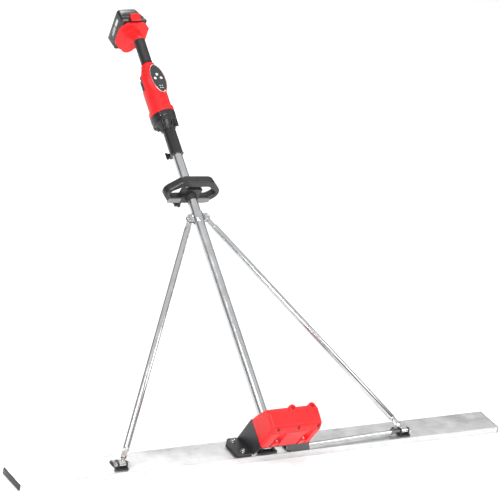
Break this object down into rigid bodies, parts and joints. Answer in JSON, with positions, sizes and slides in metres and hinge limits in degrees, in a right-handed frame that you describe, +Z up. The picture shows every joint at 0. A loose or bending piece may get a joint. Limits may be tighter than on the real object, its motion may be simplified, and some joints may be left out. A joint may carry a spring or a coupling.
{
  "type": "power screed",
  "caption": "Battery power screed: long flat blade with a motor-driven vibrator under a cover, leaning pole with two braces, loop handle and a control head with grip and pack.",
  "frame": {"origin": "centre of the blade's underside, where it rests on wet concrete", "axes": "+X along the blade to the pictured right; +Z up; +Y back towards the operator, the way the pole leans, so -Y is the front"},
  "size_m": [1.5, 1.1891, 0.8457],
  "materials": {
    "blade_metal": "satin mill finish",
    "pole_metal": "satin anodised",
    "zinc_steel": "bright zinc plate",
    "dark_steel": "dark zinc plate",
    "black_coated_metal": "satin powder coat",
    "black_rubber": "matt",
    "black_plastic": "fine grain",
    "grey_plastic": "fine grain",
    "red_plastic": "satin moulded",
    "pale_red_plastic": "satin moulded",
    "motor_steel": "turned",
    "cast_alloy": "cast",
    "weight_iron": "rough cast",
    "copper_winding": "varnished wire",
    "panel_black": "gloss",
    "bezel_silver": "silvered",
    "button_white": "gloss",
    "board_green": "solder mask",
    "cell_wrap": "wrapped cell"
  },
  "bodies": {
    "blade": {"screed_blade": "blade_metal", "blade_end_caps": "black_plastic", "bracket": "black_coated_metal", "bracket_pads": "black_rubber", "bracket_bolts": "zinc_steel", "blade_nuts": "zinc_steel", "centre_foot": "black_coated_metal", "outer_feet": "black_coated_metal", "foot_screws": "zinc_steel", "pivot_bolts": "zinc_steel", "stay_rod": "pole_metal", "stay_rod_end": "dark_steel", "motor_cradle": "cast_alloy", "motor_can": "motor_steel", "motor_end_bells": "cast_alloy", "stator": "copper_winding", "rotor_bearings": "motor_steel", "vibrator_cover": "red_plastic", "cover_end_plates": "pale_red_plastic", "cover_rail": "dark_steel", "cover_screws": "zinc_steel"},
    "rotor": {"rotor": "motor_steel", "eccentric_weights": "weight_iron"},
    "pole": {"pole_foot": "pole_metal", "pole": "pole_metal", "collar_halves": "pole_metal", "collar_bolts": "zinc_steel", "brace_left": "pole_metal", "brace_right": "pole_metal", "brace_rod_ends": "zinc_steel"},
    "handle_slider": {"handle_liner": "black_rubber"},
    "handle": {"loop_handle": "black_plastic", "handle_cap": "black_plastic", "handle_pads": "grey_plastic", "clamp_bolt": "zinc_steel"},
    "clamp_knob": {"clamp_knob": "black_plastic"},
    "head": {"coupling_sleeve": "black_plastic", "nose_cone": "black_plastic", "nose_screws": "zinc_steel", "body_left": "red_plastic", "body_right": "red_plastic", "grip_sleeve": "black_rubber", "battery_receiver": "red_plastic", "display_panel": "panel_black", "panel_bezel": "bezel_silver", "panel_lenses": "button_white", "circuit_board": "board_green", "trigger_pin": "zinc_steel", "trigger_well": "black_plastic", "trigger_switch": "grey_plastic"},
    "sleeve_knob": {"sleeve_knob": "black_plastic"},
    "button_power": {"panel_button_power": "button_white"},
    "button_minus": {"panel_buttons_minus": "button_white"},
    "button_plus": {"panel_buttons_plus": "button_white"},
    "trigger": {"trigger": "black_plastic"},
    "battery": {"battery_case": "black_plastic", "battery_top": "black_plastic", "battery_cells": "cell_wrap"},
    "release_tab": {"release_button": "red_plastic"}
  },
  "joints": [
    {"name": "pole_tilt", "type": "hinge", "parent": "blade", "child": "pole", "pos_m": [0, -0.024, 0.03], "axis": [1, 0, 0], "range_deg": [-28, 0]},
    {"name": "rotor_spin", "type": "hinge", "parent": "blade", "child": "rotor", "pos_m": [0.025, -0.0589, 0.12531], "axis": [1, 0, 0], "continuous": true},
    {"name": "handle_slide", "type": "slide", "parent": "pole", "child": "handle_slider", "axis": [0, 0.809, 0.5878], "range_m": [-0.035, 0.06]},
    {"name": "handle_roll", "type": "hinge", "parent": "handle_slider", "child": "handle", "pos_m": [0, 0.56305, 0.49931], "axis": [0, 0.809, 0.5878], "range_deg": [-40, 40]},
    {"name": "clamp_knob_turn", "type": "hinge", "parent": "handle", "child": "clamp_knob", "pos_m": [-0.02592, 0.57295, 0.46974], "axis": [-0.1171, 0.3378, -0.9339], "range_deg": [-180, 180]},
    {"name": "head_slide", "type": "slide", "parent": "pole", "child": "head", "axis": [0, 0.809, 0.5878], "range_m": [0, 0.045]},
    {"name": "sleeve_knob_turn", "type": "hinge", "parent": "head", "child": "sleeve_knob", "pos_m": [-0.01, 0.68181, 0.55531], "axis": [1, 0, 0], "range_deg": [-90, 90]},
    {"name": "trigger_pull", "type": "hinge", "parent": "head", "child": "trigger", "pos_m": [0, 0.88016, 0.68892], "axis": [1, 0, 0], "range_deg": [-9, 0], "stiffness_Nm_per_rad": 0.3, "springref_deg": 11.46},
    {"name": "button_power_press", "type": "slide", "parent": "head", "child": "button_power", "axis": [0, -0.515, 0.8572], "range_m": [-0.0007, 0], "stiffness_N_per_m": 500, "springref_m": 0.001},
    {"name": "button_minus_press", "type": "slide", "parent": "head", "child": "button_minus", "axis": [0, -0.515, 0.8572], "range_m": [-0.0007, 0], "stiffness_N_per_m": 500, "springref_m": 0.001},
    {"name": "button_plus_press", "type": "slide", "parent": "head", "child": "button_plus", "axis": [0, -0.515, 0.8572], "range_m": [-0.0007, 0], "stiffness_N_per_m": 500, "springref_m": 0.001},
    {"name": "battery_slide", "type": "slide", "parent": "head", "child": "battery", "axis": [0, -0.2419, 0.9703], "range_m": [0, 0.06]},
    {"name": "release_tab_press", "type": "slide", "parent": "battery", "child": "release_tab", "axis": [0, -0.2419, 0.9703], "range_m": [-0.002, 0], "stiffness_N_per_m": 1000, "springref_m": 0.002}
  ]
}
